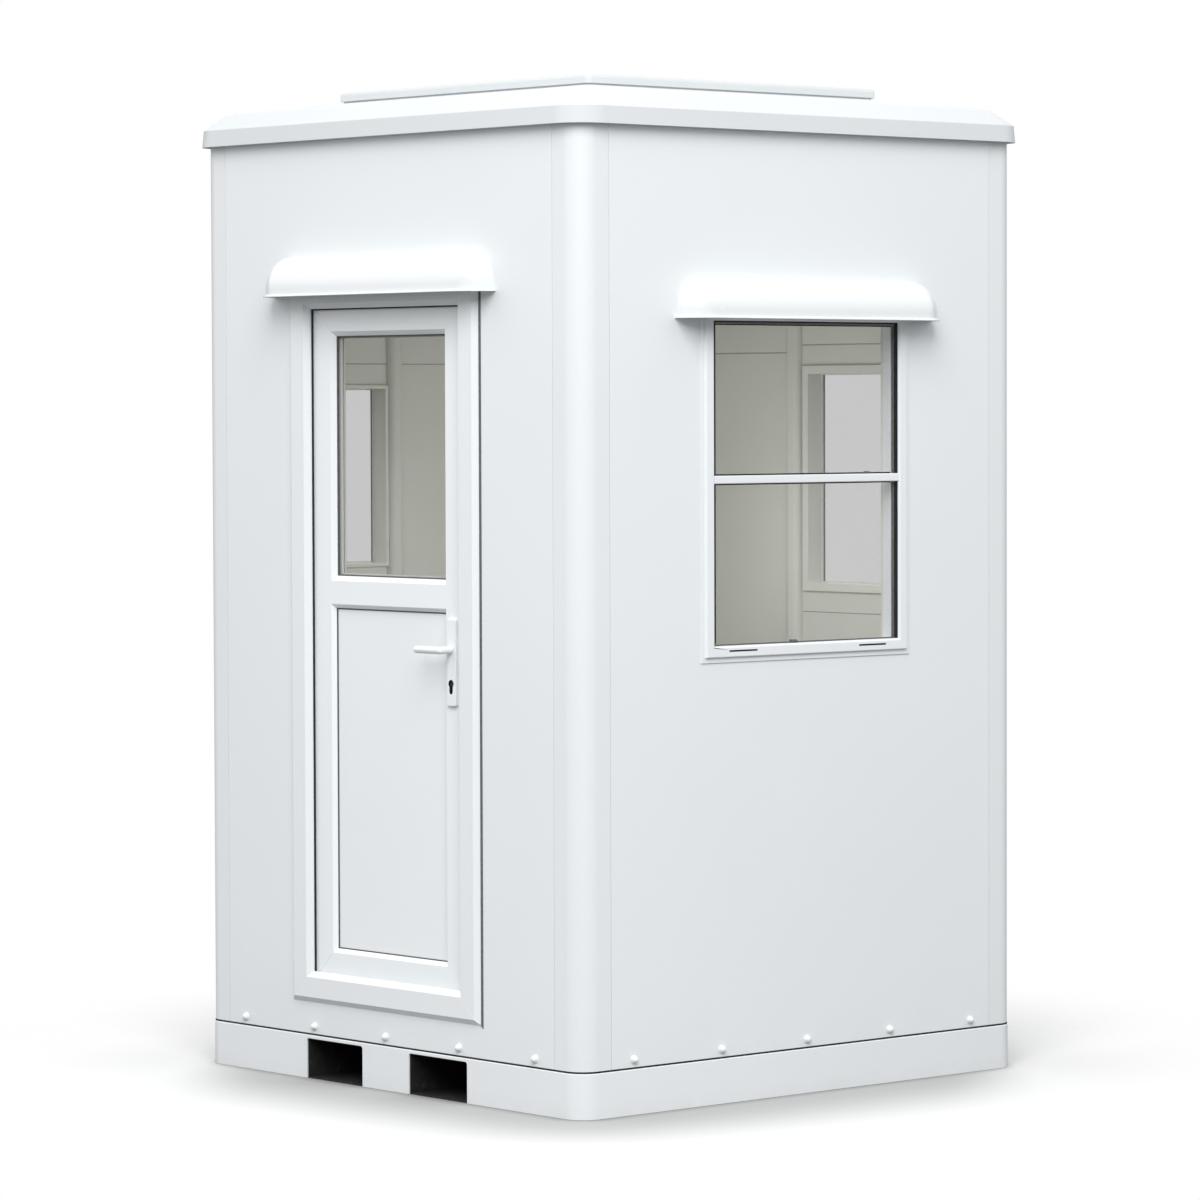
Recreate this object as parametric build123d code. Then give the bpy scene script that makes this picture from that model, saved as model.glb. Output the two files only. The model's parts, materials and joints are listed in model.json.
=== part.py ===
from build123d import *
import os

os.makedirs("parts", exist_ok=True)

# ---------------------------------------------------------------------------
# Security guard booth: a square, free-standing cabin on a skid base.
# Frame: +Z up, origin on the ground under the middle of the booth.
# The door wall is the front (faces -Y), the big window is in the right wall (+X).
# All sizes in millimetres.
# ---------------------------------------------------------------------------

# overall walls
HALF = 750.0            # outer wall face from the middle
WALL_T = 50.0           # sandwich panel thickness
POST = 98.0             # leg of a corner post
POST_R = 55.0           # rounded outer corner
POST_IN_R = 30.0        # rounded inner corner
WALL_Z0 = 115.0
WALL_Z1 = 2425.0        # hidden behind the roof skirt
JOINT = 1.4             # small chamfer at the panel joints

# base
BASE_PROUD = 2.0
BASE_H = 112.0
RAIL_D = 72.0
BASE_EDGE = 3.0         # rounding of its top edge
PKT_X0, PKT_X1 = 93.0, 322.0
PKT_Z1 = 103.0
PKT_R = 8.0             # rounded top corners of a fork slot
PKT_T = 3.0
PKT_BACK = 4.0          # the slot's tube ends this far behind the rail's face
FLOOR_TOP = 150.0

# roof
SKIRT, SKIRT_TOP = 775.0, 771.0     # the skirt leans in a little
SKIRT_R = 88.0
SKIRT_Z0, SKIRT_Z1 = 2400.0, 2443.0
SKIRT_FIL = 4.0         # rounding over the skirt
SHOULDER, SHOULDER_R = 707.0, 26.0
SHOULDER_Z = 2487.0
SHOULDER_FIL = 40.0
SLOPE_HALF, SLOPE_Z = 490.0, 2514.0
NECK_HALF = 490.0       # shadow gap under the top panel
TOP_HALF = 496.0
TOP_Z0, TOP_Z1 = 2518.0, 2541.0
CEIL_Z0 = 2385.0

# door frame (front view sizes, then depths)
FR_OUT, FR_FACE_OUT, FR_FACE_IN, FR_LIP, FR_REB = 378.0, 361.0, 310.0, 298.0, 316.0
FR_Z = (197.0, 211.0, 263.0, 277.0, 248.5)          # bottom: outer, face, face, lip, rebate
FR_ZT = (2057.0, 2041.0, 1986.0, 1972.0, 1996.0)    # top: the same
FR_FRONT, FR_LIP_BACK, FR_BACK = -762.0, -744.0, -690.0

# door leaf
LF_X, LF_Z0, LF_Z1 = 306.0, 254.5, 1990.0
LF_FRONT, LF_BACK = -737.0, -687.0
BEAD, PANEL_BEAD = 12.0, 10.0       # bevel round the glass and round the panel
STILE = 76.0
MID_Z0, MID_Z1 = 1220.5, 1281.0
GROOVE = 8.0
GLAZE_Y0, GLAZE_Y1 = -720.0, -704.0
PANEL_Y0, PANEL_Y1 = -724.0, -700.0
PANE_T = 4.0

# handle
H_X = 259.0
H_PLATE_W, H_PLATE_Z0, H_PLATE_Z1, H_PLATE_T = 34.0, 980.0, 1197.0, 9.0
H_Z = 1120.0
H_OUT = 43.0            # lever axis from the leaf's face
H_REACH = 90.0
H_D = 19.0
CYL_Z = 1028.0

# hinge axis of the leaf
AX_X, AX_Y = -314.0, -676.0
HINGE_R = 7.0
HINGE_Z = (470.0, 1125.0, 1780.0)

# windows: half width of the daylight opening, its bottom and top
RW_A, RW_Z0, RW_Z1 = 317.0, 1131.0, 1931.0
RW_BAR_Z0, RW_BAR_Z1 = 1530.0, 1550.0
BACK_WIN = (172.5, 142.5, 1245.0, 1808.0)    # middle along X, half width, bottom, top
LEFT_WIN = (-329.0, 143.0, 1304.0, 1771.0)   # middle along Y, half width, bottom, top

# hoods: half length, depth, bottom, height
DOOR_HOOD = (443.0, 78.0, 2003.0, 101.0)
RIGHT_HOOD = (441.0, 78.0, 1935.5, 98.0)
SMALL_HOOD_L = 258.0
HOOD_T = 4.0
HOOD_FLARE = 8.0        # thin rim standing out at the bottom
HOOD_RIM, HOOD_RISE = 2.5, 20.0
HOOD_CREST = 6.0        # flat strip at the top, against the wall

# rounded strips over the joints of the inner lining
STRIP_PROUD, STRIP_R = 22.0, 17.0
BACK_STRIP = (-48.0, 1.0)
LEFT_STRIP = (-175.0, -132.0)


def box(x0, x1, y0, y1, z0, z1):
    return Pos((x0 + x1) / 2, (y0 + y1) / 2, (z0 + z1) / 2) * Box(abs(x1 - x0), abs(y1 - y0), abs(z1 - z0))


def rounded_prism(half, r, z0, z1):
    return Pos(0, 0, z0) * extrude(RectangleRounded(2 * half, 2 * half, r), z1 - z0)


def rect_loft(a, ya, b, yb):
    """Tapered prism between two upright rectangles (x0, x1, z0, z1) at depths ya and yb."""
    def wire(rc, y):
        x0, x1, z0, z1 = rc
        return Wire.make_polygon([(x0, y, z0), (x1, y, z0), (x1, y, z1), (x0, y, z1)], close=True)
    return Solid.make_loft([wire(a, ya), wire(b, yb)], True)


def prism_xz(pts, y0, y1):
    """Upright prism over a polygon in the X-Z plane, from depth y0 to y1."""
    f = Face(Wire.make_polygon([(x, y0, z) for x, z in pts], close=True))
    return extrude(f, y1 - y0, dir=(0, 1, 0))


def save(shape, name):
    shape.label = name
    export_step(shape, "parts/" + name + ".step")


def one(shape):
    """The single solid of a shape."""
    s = shape.solids()
    return s[0] if len(s) == 1 else Compound(children=list(s))


# ---------------------------------------------------------------------------
# base
# ---------------------------------------------------------------------------
B = HALF + BASE_PROUD
outline = rounded_prism(B, POST_R + BASE_PROUD, 0, BASE_H)
outline = fillet([e for e in outline.edges() if abs(e.center().Z - BASE_H) < 0.01], BASE_EDGE)


def slot_block(x0, x1, y0, y1, z0, z1, r):
    """Block with its two long upper edges rounded."""
    c = box(x0, x1, y0, y1, z0, z1)
    return fillet([e for e in c.edges().filter_by(Axis.Y) if abs(e.center().Z - z1) < 0.01], r)


front_rail = outline & box(-B, B, -B, -B + RAIL_D, 0, BASE_H)
for s in (-1, 1):
    x0, x1 = sorted((s * PKT_X0, s * PKT_X1))
    front_rail -= slot_block(x0, x1, -B - 1, -B + RAIL_D + 1, -5, PKT_Z1, PKT_R)
back_rail = Rot(0, 0, 180) * front_rail
right_rail = outline & box(B - RAIL_D, B, -B + RAIL_D, B - RAIL_D, 0, BASE_H)
left_rail = Rot(0, 0, 180) * right_rail
save(one(front_rail), "base_front_rail")
save(one(back_rail), "base_back_rail")
save(one(right_rail), "base_right_rail")
save(one(left_rail), "base_left_rail")

tubes = []
ty = B - PKT_BACK
for s in (-1, 1):
    x0, x1 = sorted((s * PKT_X0, s * PKT_X1))
    tube = slot_block(x0, x1, -ty, ty, 0, PKT_Z1, PKT_R)
    tube -= slot_block(x0 + PKT_T, x1 - PKT_T, -ty - 1, ty + 1, PKT_T, PKT_Z1 - PKT_T, PKT_R - PKT_T)
    tubes.append(one(tube))
save(Compound(children=tubes), "fork_pockets")

joint_sheet = rounded_prism(HALF - 4.0, POST_R - 4.0, BASE_H, WALL_Z0)
save(one(joint_sheet), "base_joint_sheet")

# ---------------------------------------------------------------------------
# corner posts
# ---------------------------------------------------------------------------
I = HALF - WALL_T       # inner wall face
P = HALF - POST         # joint line
post_box = box(P, HALF, P, HALF, WALL_Z0, WALL_Z1)
post_box = fillet(post_box.edges().filter_by(Axis.Z).sort_by(lambda e: e.center().X + e.center().Y)[-1], POST_R)
post_box = fillet(post_box.edges().filter_by(Axis.Z).sort_by(lambda e: e.center().X + e.center().Y)[0], POST_IN_R)
joint_edges = [e for e in post_box.edges().filter_by(Axis.Z)
               if (abs(e.center().X - P) < 0.01 and abs(e.center().Y - HALF) < 0.01)
               or (abs(e.center().Y - P) < 0.01 and abs(e.center().X - HALF) < 0.01)]
post_box = chamfer(joint_edges, JOINT)
posts = {
    "corner_post_back_right": post_box,
    "corner_post_back_left": Rot(0, 0, 90) * post_box,
    "corner_post_front_left": Rot(0, 0, 180) * post_box,
    "corner_post_front_right": Rot(0, 0, 270) * post_box,
}
for nm, p in posts.items():
    save(one(p), nm)

# floor and ceiling panels, notched round the posts
floor = box(-I, I, -I, I, WALL_Z0, FLOOR_TOP)
ceiling = box(-I, I, -I, I, CEIL_Z0, WALL_Z1)
for p in posts.values():
    floor -= p
    ceiling -= p
save(one(floor), "floor_panel")
save(one(ceiling), "ceiling_panel")


# ---------------------------------------------------------------------------
# walls
# ---------------------------------------------------------------------------
def joint_chamfer(w, xs):
    es = [e for e in w.edges().filter_by(Axis.Z)
          if any(abs(e.center().X - x) < 0.01 for x in xs) and abs(e.center().Y + HALF) < 0.01]
    return chamfer(es, JOINT)


DO = FR_FACE_OUT + 1.0              # door opening half width
DZ0, DZ1 = FR_Z[1], FR_ZT[1]
front_left = joint_chamfer(box(-P, -DO, -HALF, -I, WALL_Z0, WALL_Z1), (-P,))
front_right = joint_chamfer(box(DO, P, -HALF, -I, WALL_Z0, WALL_Z1), (P,))
save(one(front_left), "front_wall_left")
save(one(front_right), "front_wall_right")
save(one(box(-DO, DO, -HALF, -I, DZ1, WALL_Z1)), "front_wall_over_door")
save(one(box(-DO, DO, -HALF, -I, WALL_Z0, DZ0)), "front_wall_under_door")

W_BODY = 20.0                       # window frame body round the daylight opening


def wall_with_window(mid, a, z0, z1):
    w = joint_chamfer(box(-P, P, -HALF, -I, WALL_Z0, WALL_Z1), (-P, P))
    return w - box(mid - a - W_BODY, mid + a + W_BODY, -HALF - 1, -I + 1, z0 - W_BODY, z1 + W_BODY)


TO_RIGHT, TO_BACK, TO_LEFT = Rot(0, 0, 90), Rot(0, 0, 180), Rot(0, 0, -90)
back_mid = -BACK_WIN[0]             # along the wall, as seen from outside
left_mid = -LEFT_WIN[0]
save(one(TO_RIGHT * wall_with_window(0, RW_A, RW_Z0, RW_Z1)), "right_wall")
save(one(TO_BACK * wall_with_window(back_mid, *BACK_WIN[1:])), "back_wall")
save(one(TO_LEFT * wall_with_window(left_mid, *LEFT_WIN[1:])), "left_wall")

# ---------------------------------------------------------------------------
# roof
# ---------------------------------------------------------------------------


def ring_wire(half, r, z):
    return (Pos(0, 0, z) * RectangleRounded(2 * half, 2 * half, r)).face().outer_wire()


top_r = SKIRT_R - SKIRT + SKIRT_TOP
skirt = Solid.make_loft([ring_wire(SKIRT, SKIRT_R, SKIRT_Z0), ring_wire(SKIRT_TOP, top_r, SKIRT_Z1)], True)
shoulder = Solid.make_loft([ring_wire(SKIRT_TOP, top_r, SKIRT_Z1), ring_wire(SHOULDER, SHOULDER_R, SHOULDER_Z)], True)
slope = Solid.make_loft([ring_wire(SHOULDER, SHOULDER_R, SHOULDER_Z), ring_wire(SLOPE_HALF, 14.0, SLOPE_Z)], True)
neck = rounded_prism(NECK_HALF, 14.0, SLOPE_Z, TOP_Z0)
roof = Part() + skirt + shoulder + slope


def level_edges(z):
    return [e for e in roof.edges() if abs(e.center().Z - z) < 0.01 and abs(e.bounding_box().size.Z) < 0.01]


roof = fillet(level_edges(SHOULDER_Z), SHOULDER_FIL)
roof = fillet(level_edges(SKIRT_Z1), SKIRT_FIL)
roof = Part() + roof + neck
roof -= rounded_prism(HALF + 4.0, POST_R + 3.0, SKIRT_Z0 - 1, WALL_Z1)
save(one(roof), "roof_cap")
top = rounded_prism(TOP_HALF, 14.0, TOP_Z0, TOP_Z1)
top = fillet(top.edges().filter_by(lambda e: abs(e.center().Z - TOP_Z1) < 0.01), 9.0)
save(one(top), "roof_top_panel")


# ---------------------------------------------------------------------------
# hoods: thin domed shells with a flared rim, open at the wall and below
# ---------------------------------------------------------------------------
def hood_solid(L, d, z0, pts, a, zc, b):
    """Profile pts closed by a quarter ellipse (radii a, b over zc), run along the wall and turned at both ends."""
    line = Polyline(*pts)
    c = HOOD_CREST
    arc = EllipticalCenterArc((c, zc), a - c, b, 0.0, arc_size=90.0)
    close = Polyline((c, zc + b), (0, zc + b), pts[0])
    face = make_face(line.edges() + arc.edges() + close.edges())
    xe = L - d
    solid = Part()
    for x, up in ((xe, 1), (-xe, -1)):
        prof = Plane(origin=(x, -HALF, z0), x_dir=(0, -1, 0), z_dir=(-1, 0, 0)) * face
        if up > 0:
            solid += extrude(prof, 2 * xe, dir=(-1, 0, 0))
        solid += revolve(prof, Axis((x, -HALF, 0), (0, 0, up)), 90.0)
    return solid


def hood(mid, L, d, z0, h):
    t, a = HOOD_T, d - HOOD_FLARE
    outer = hood_solid(L, d, z0, [(0, 0), (d, 0), (d, HOOD_RIM), (a + 3.0, HOOD_RIM + 1.0), (a, HOOD_RIM + 4.0), (a, HOOD_RISE)],
                       a, HOOD_RISE, h - HOOD_RISE)
    inner = hood_solid(L, d, z0, [(0, -20), (a - t, -20), (a - t, HOOD_RISE)], a - t, HOOD_RISE, h - HOOD_RISE - t)
    return Pos(mid, 0, 0) * (outer - inner)


save(one(hood(0, *DOOR_HOOD)), "door_hood")
save(one(TO_RIGHT * hood(0, *RIGHT_HOOD)), "right_window_hood")
for turn, mid, top_z, nm in ((TO_BACK, back_mid, BACK_WIN[3], "back"), (TO_LEFT, left_mid, LEFT_WIN[3], "left")):
    save(one(turn * hood(mid, SMALL_HOOD_L, RIGHT_HOOD[1], top_z + 5.0, RIGHT_HOOD[3])), nm + "_window_hood")

# ---------------------------------------------------------------------------
# door frame: bevelled lip in front, rebate behind it, mitred corners
# ---------------------------------------------------------------------------
frame = Part() + rect_loft((-FR_OUT, FR_OUT, FR_Z[0], FR_ZT[0]), -HALF,
                           (-FR_FACE_OUT, FR_FACE_OUT, FR_Z[1], FR_ZT[1]), FR_FRONT)
frame += box(-DO, DO, -HALF, FR_BACK, DZ0, DZ1)
frame -= rect_loft((-FR_FACE_IN, FR_FACE_IN, FR_Z[2], FR_ZT[2]), FR_FRONT,
                   (-FR_LIP, FR_LIP, FR_Z[3], FR_ZT[3]), -HALF)
frame -= box(-FR_LIP, FR_LIP, -HALF, FR_LIP_BACK, FR_Z[3], FR_ZT[3])
frame -= box(-FR_REB, FR_REB, FR_LIP_BACK, FR_BACK + 1, FR_Z[4], FR_ZT[4])
e = 43.0
xo, xi = FR_OUT + e, FR_LIP - e
bo, bi = FR_Z[0] - e, FR_Z[3] + e
to, ti = FR_ZT[0] + e, FR_ZT[3] - e
regions = {
    "door_frame_left_jamb": [(-xo, bo), (-xi, bi), (-xi, ti), (-xo, to)],
    "door_frame_right_jamb": [(xo, bo), (xi, bi), (xi, ti), (xo, to)],
    "door_frame_head": [(-xo, to), (-xi, ti), (xi, ti), (xo, to)],
    "door_frame_threshold": [(-xo, bo), (-xi, bi), (xi, bi), (xo, bo)],
}
for nm, pts in regions.items():
    save(one(frame & prism_xz(pts, -800, -650)), nm)

# ---------------------------------------------------------------------------
# door leaf: one bevelled ladder of stiles and rails, split at its mitres
# ---------------------------------------------------------------------------
G = LF_X - STILE                     # face edge of a stile
GB = G - BEAD                        # bead edge
leaf = box(-LF_X, LF_X, LF_FRONT, LF_BACK, LF_Z0, LF_Z1)
GP = G - PANEL_BEAD                  # bead edge at the panel
openings = [(MID_Z1, LF_Z1 - STILE, BEAD, GLAZE_Y0, GLAZE_Y1),
            (LF_Z0 + STILE, MID_Z0, PANEL_BEAD, PANEL_Y0, PANEL_Y1)]
for za, zb, b, ya, yb in openings:
    g = G - b
    leaf -= rect_loft((-G, G, za, zb), LF_FRONT, (-g, g, za + b, zb - b), LF_FRONT + b)
    leaf -= box(-g, g, LF_FRONT + b, LF_BACK - b, za + b, zb - b)
    leaf -= rect_loft((-g, g, za + b, zb - b), LF_BACK - b, (-G, G, za, zb), LF_BACK)
    leaf -= box(-g - GROOVE, g + GROOVE, ya, yb, za + b - GROOVE, zb - b + GROOVE)


def euro_profile(y0, y1, grow=0.0):
    """Lock cylinder outline: a round barrel over a narrow tongue."""
    c = Pos(H_X, (y0 + y1) / 2, CYL_Z + 8.0) * Rot(90, 0, 0) * Cylinder(8.5 + grow, y1 - y0)
    c += box(H_X - 5.0 - grow, H_X + 5.0 + grow, y0, y1, CYL_Z - 11.5, CYL_Z + 8.0)
    c += Pos(H_X, (y0 + y1) / 2, CYL_Z - 11.5) * Rot(90, 0, 0) * Cylinder(5.0 + grow, y1 - y0)
    return c


def rod_y(x, z, r, y0, y1):
    return Pos(x, (y0 + y1) / 2, z) * Rot(90, 0, 0) * Cylinder(r, y1 - y0)


SPINDLE_HOLE = 8.0
leaf -= rod_y(H_X, H_Z, SPINDLE_HOLE, LF_FRONT - 1, LF_BACK + 1)

k = STILE + 40.0
mid_hex = [(-G, MID_Z1), (-GB, MID_Z1 + BEAD), (GB, MID_Z1 + BEAD), (G, MID_Z1),
           (G, MID_Z0), (GP, MID_Z0 - PANEL_BEAD), (-GP, MID_Z0 - PANEL_BEAD), (-G, MID_Z0)]
mid_prism = prism_xz(mid_hex, -760, -660)
leaf_regions = {
    "door_hinge_stile": [(-LF_X, LF_Z0), (-LF_X + k, LF_Z0 + k), (-LF_X + k, LF_Z1 - k), (-LF_X, LF_Z1)],
    "door_lock_stile": [(LF_X, LF_Z0), (LF_X - k, LF_Z0 + k), (LF_X - k, LF_Z1 - k), (LF_X, LF_Z1)],
    "door_top_rail": [(-LF_X, LF_Z1), (-LF_X + k, LF_Z1 - k), (LF_X - k, LF_Z1 - k), (LF_X, LF_Z1)],
    "door_bottom_rail": [(-LF_X, LF_Z0), (-LF_X + k, LF_Z0 + k), (LF_X - k, LF_Z0 + k), (LF_X, LF_Z0)],
}
for nm, pts in leaf_regions.items():
    piece = leaf & prism_xz(pts, -760, -660)
    if nm.endswith("stile"):
        piece -= mid_prism
    save(one(piece), nm)
save(one(leaf & mid_prism), "door_middle_rail")

za, zb = openings[0][:2]
panes = [box(-GB - GROOVE, GB + GROOVE, y0, y0 + PANE_T, za + BEAD - GROOVE, zb - BEAD + GROOVE)
         for y0 in (GLAZE_Y0, GLAZE_Y1 - PANE_T)]
save(Compound(children=[one(p) for p in panes]), "door_glazing")
za, zb = openings[1][:2]
save(one(box(-GP - GROOVE, GP + GROOVE, PANEL_Y0, PANEL_Y1,
             za + PANEL_BEAD - GROOVE, zb - PANEL_BEAD + GROOVE)), "door_panel")

# ---------------------------------------------------------------------------
# handle, lock and hinges
# ---------------------------------------------------------------------------


def handle_plate(y0, y1, front):
    p = box(H_X - H_PLATE_W / 2, H_X + H_PLATE_W / 2, y0, y1, H_PLATE_Z0, H_PLATE_Z1)
    p = fillet(p.edges().filter_by(Axis.Y), 5.0)
    fe = [e for e in p.edges() if abs(e.center().Y - front) < 0.01]
    p = fillet(fe, 3.0)
    p -= rod_y(H_X, H_Z, SPINDLE_HOLE, y0 - 1, y1 + 1)
    p -= euro_profile(y0 - 1, y1 + 1, 1.5)
    return p


plates = [one(handle_plate(LF_FRONT - H_PLATE_T, LF_FRONT, LF_FRONT - H_PLATE_T)),
          one(handle_plate(LF_BACK, LF_BACK + H_PLATE_T, LF_BACK + H_PLATE_T))]
save(Compound(children=plates), "handle_plates")
cyl = [one(euro_profile(LF_FRONT - H_PLATE_T + 4.0, LF_FRONT)),
       one(euro_profile(LF_BACK, LF_BACK + H_PLATE_T - 4.0))]
save(Compound(children=cyl), "lock_cylinder")

R = H_D / 2
YO, YI = LF_FRONT - H_OUT, LF_BACK + H_OUT
lever = Part() + rod_y(H_X, H_Z, 4.0, YO, YI)
for y_end, y_hub in ((YO, LF_FRONT - H_PLATE_T - 1.0), (YI, LF_BACK + H_PLATE_T + 1.0)):
    lo, hi = sorted((y_end, y_hub))
    lever += rod_y(H_X, H_Z, R, lo, hi)
    lever += Pos(H_X, y_end, H_Z) * Sphere(R)
    lever += Pos(H_X - H_REACH / 2, y_end, H_Z) * Rot(0, 90, 0) * Cylinder(R, H_REACH)
    lever += Pos(H_X - H_REACH, y_end, H_Z) * Sphere(R)
save(one(lever), "door_lever")

frame_halves, leaf_halves = [], []
for hz in HINGE_Z:
    a = Pos(AX_X, AX_Y, hz - 23.0) * Cylinder(HINGE_R, 44.0)
    a += box(AX_X - 42.0, AX_X, FR_BACK, AX_Y - HINGE_R + 1.5, hz - 45.0, hz - 1.0)
    frame_halves.append(one(a))
    b = Pos(AX_X, AX_Y, hz + 23.0) * Cylinder(HINGE_R, 44.0)
    b += box(AX_X + 3.0, AX_X + 48.0, LF_BACK, AX_Y - HINGE_R + 2.5, hz + 1.0, hz + 45.0)
    leaf_halves.append(one(b))
save(Compound(children=frame_halves), "hinge_frame_halves")
save(Compound(children=leaf_halves), "hinge_leaf_halves")


# ---------------------------------------------------------------------------
# windows
# ---------------------------------------------------------------------------
W_FLANGE, W_STEP = 41.0, 28.0
W_Y = (-753.0, -760.0, -692.0)       # thin flange, raised step, inner trim
PANE_Y, SMALL_PANE_Y = -733.0, -752.0   # outer face of the panes
SEAT = 6.0


def window_frame(mid, a, z0, z1, inner, glass):
    f = Part() + box(mid - a - W_FLANGE, mid + a + W_FLANGE, W_Y[0], -HALF, z0 - W_FLANGE, z1 + W_FLANGE)
    step = box(mid - a - W_STEP, mid + a + W_STEP, W_Y[1], W_Y[0], z0 - W_STEP, z1 + W_STEP)
    step = fillet([q for q in step.edges() if abs(q.center().Y - W_Y[1]) < 0.01], 3.0)
    f += step
    f += box(mid - a - W_BODY, mid + a + W_BODY, -HALF, -I, z0 - W_BODY, z1 + W_BODY)
    f += box(mid - a - inner, mid + a + inner, -I, W_Y[2], z0 - inner, z1 + inner)
    f -= rect_loft((mid - a - 4, mid + a + 4, z0 - 4, z1 + 4), W_Y[1], (mid - a, mid + a, z0, z1), W_Y[1] + 4)
    f -= box(mid - a, mid + a, W_Y[1] + 4, W_Y[2] + 1, z0, z1)
    f -= box(mid - a - SEAT, mid + a + SEAT, glass, glass + PANE_T, z0 - SEAT, z1 + SEAT)
    return f


def pane(mid, a, z0, z1, glass):
    return box(mid - a - SEAT, mid + a + SEAT, glass, glass + PANE_T, z0, z1)


rf = window_frame(0, RW_A, RW_Z0, RW_Z1, 41.0, PANE_Y)
for s in (-1, 1):                    # drain slots in the sill's face
    x0, x1 = sorted((s * 175.0, s * 270.0))
    rf -= box(x0, x1, W_Y[1] - 1, W_Y[1] + 12.0, 1116.0, 1120.5)
bar = box(-RW_A, RW_A, -758.0, -724.0, RW_BAR_Z0, RW_BAR_Z1)
bar = fillet([q for q in bar.edges().filter_by(Axis.X) if abs(q.center().Y + 758.0) < 0.01], 2.5)
up = pane(0, RW_A, RW_BAR_Z1 - 5.0, RW_Z1 + SEAT, PANE_Y)
lo = pane(0, RW_A, RW_Z0 - SEAT, RW_BAR_Z0 + 5.0, PANE_Y)
bar = bar - up - lo
save(one(TO_RIGHT * rf), "right_window_frame")
save(one(TO_RIGHT * bar), "right_window_bar")
save(Compound(children=[one(TO_RIGHT * up), one(TO_RIGHT * lo)]), "right_window_panes")

for turn, mid, size, trim, nm in ((TO_BACK, back_mid, BACK_WIN[1:], 22.0, "back_window"),
                                  (TO_LEFT, left_mid, LEFT_WIN[1:], 10.0, "left_window")):
    a, z0, z1 = size
    save(one(turn * window_frame(mid, a, z0, z1, trim, SMALL_PANE_Y)), nm + "_frame")
    save(one(turn * pane(mid, a, z0 - SEAT, z1 + SEAT, SMALL_PANE_Y)), nm + "_pane")

# ---------------------------------------------------------------------------
# rounded strips inside, over the joints of the back and left lining
# ---------------------------------------------------------------------------
strips = []
x0, x1 = BACK_STRIP
st = box(x0, x1, I - STRIP_PROUD, I, FLOOR_TOP, CEIL_Z0)
strips.append(one(fillet([e for e in st.edges().filter_by(Axis.Z) if e.center().Y < I - 1], STRIP_R)))
y0, y1 = LEFT_STRIP
st = box(-I, -I + STRIP_PROUD, y0, y1, FLOOR_TOP, CEIL_Z0)
strips.append(one(fillet([e for e in st.edges().filter_by(Axis.Z) if e.center().X > -I + 1], STRIP_R)))
save(Compound(children=strips), "inner_cover_strips")
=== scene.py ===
import bpy
import json
import math
from mathutils import Matrix, Vector


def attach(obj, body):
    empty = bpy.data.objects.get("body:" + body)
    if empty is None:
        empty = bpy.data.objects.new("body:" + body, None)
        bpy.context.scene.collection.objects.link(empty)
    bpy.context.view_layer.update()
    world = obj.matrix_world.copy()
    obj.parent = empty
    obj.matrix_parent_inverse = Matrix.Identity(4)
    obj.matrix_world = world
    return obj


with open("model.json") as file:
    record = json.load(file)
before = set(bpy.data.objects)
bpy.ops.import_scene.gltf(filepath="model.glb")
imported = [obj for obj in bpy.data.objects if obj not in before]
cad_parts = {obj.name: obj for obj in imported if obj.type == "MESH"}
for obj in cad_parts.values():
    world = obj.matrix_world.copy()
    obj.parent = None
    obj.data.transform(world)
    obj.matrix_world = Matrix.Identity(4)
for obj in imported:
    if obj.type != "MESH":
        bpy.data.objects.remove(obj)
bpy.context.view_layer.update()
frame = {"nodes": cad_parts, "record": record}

nodes = frame["nodes"]
scene = bpy.context.scene
MM = 0.001
POST_R, POST_P = 55.0, 652.0      # radius of the corner posts, and the middle of the joint beside them (mm)

# ---------------------------------------------------------------------------
# materials
# ---------------------------------------------------------------------------


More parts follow.
